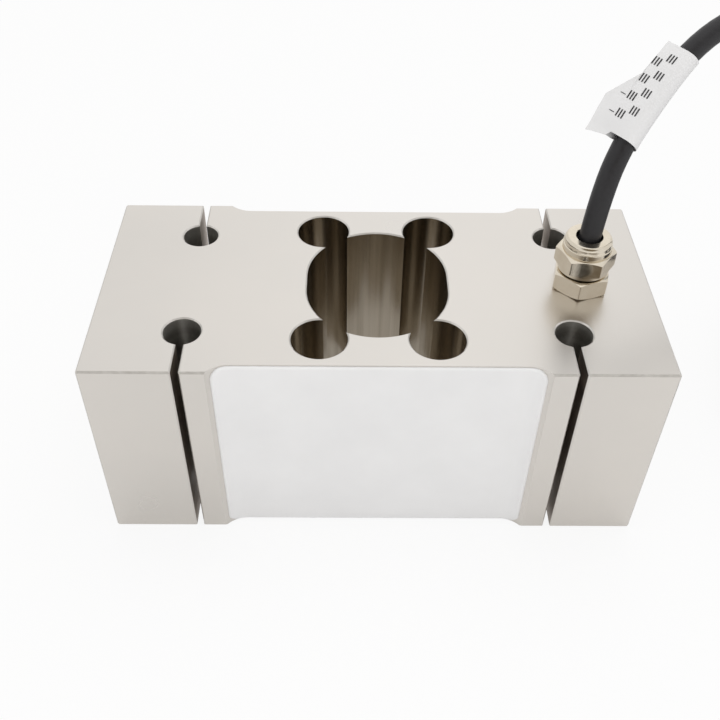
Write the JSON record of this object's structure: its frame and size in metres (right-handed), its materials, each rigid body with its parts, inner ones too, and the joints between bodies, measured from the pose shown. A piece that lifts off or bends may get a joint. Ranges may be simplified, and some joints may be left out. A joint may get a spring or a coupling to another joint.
{
  "type": "single point load cell",
  "caption": "Binocular-beam load cell with sealed strain gauges, end bolt holes and a gland with its signal cable.",
  "frame": {"origin": "middle of the flat side that the beam lies on", "axes": "+X along the beam towards the cable gland's end, +Z along the bores and the gland, -Y out of the front gauged face"},
  "size_m": [0.312, 0.1038, 0.1293],
  "materials": {
    "satin_nickel": "satin nickel plate on alloy steel",
    "cover_white": "smooth white sealing compound",
    "enamelled_wire": "fine enamelled copper wire",
    "core_grey": "plastic insulation",
    "board_green": "solder-masked board",
    "resistor_black": "matt chip resistors",
    "solder": "solder",
    "silicone": "cast silicone",
    "bright_nickel": "bright nickel plate on brass",
    "black_rubber": "moulded rubber",
    "grey_plastic": "moulded polyamide",
    "cable_black": "satin black sheath",
    "tie_black": "moulded polyamide",
    "label_white": "satin film",
    "sleeve_black": "shrunk sleeve",
    "tinned_copper": "tinned copper strands",
    "gauge_film": "amber film with a foil grid",
    "core_red": "plastic insulation",
    "core_black": "plastic insulation",
    "core_green": "plastic insulation",
    "core_white": "plastic insulation"
  },
  "bodies": {
    "root": {"beam_body": "satin_nickel", "front_gauge_cover": "cover_white", "rear_gauge_cover": "cover_white", "front_bridge_wires": "enamelled_wire", "rear_bridge_wires": "enamelled_wire", "inner_cores": "core_grey", "compensation_board": "board_green", "trim_resistors": "resistor_black", "solder_pads": "solder", "board_potting": "silicone", "gland_body": "bright_nickel", "gland_sealing_ring": "black_rubber", "gland_claw": "grey_plastic", "gland_seal": "black_rubber", "gland_nut": "bright_nickel", "signal_cable": "cable_black", "cable_coil": "cable_black", "coil_ties": "tie_black", "signal_cable_tail": "cable_black", "cable_label": "label_white", "cable_end_sleeve": "sleeve_black", "core_ferrules": "tinned_copper", "shield_tail": "tinned_copper", "strain_gauge_front_left": "gauge_film", "strain_gauge_front_right": "gauge_film", "strain_gauge_rear_left": "gauge_film", "strain_gauge_rear_right": "gauge_film", "core_red": "core_red", "core_black": "core_black", "core_green": "core_green", "core_white": "core_white"}
  },
  "joints": []
}
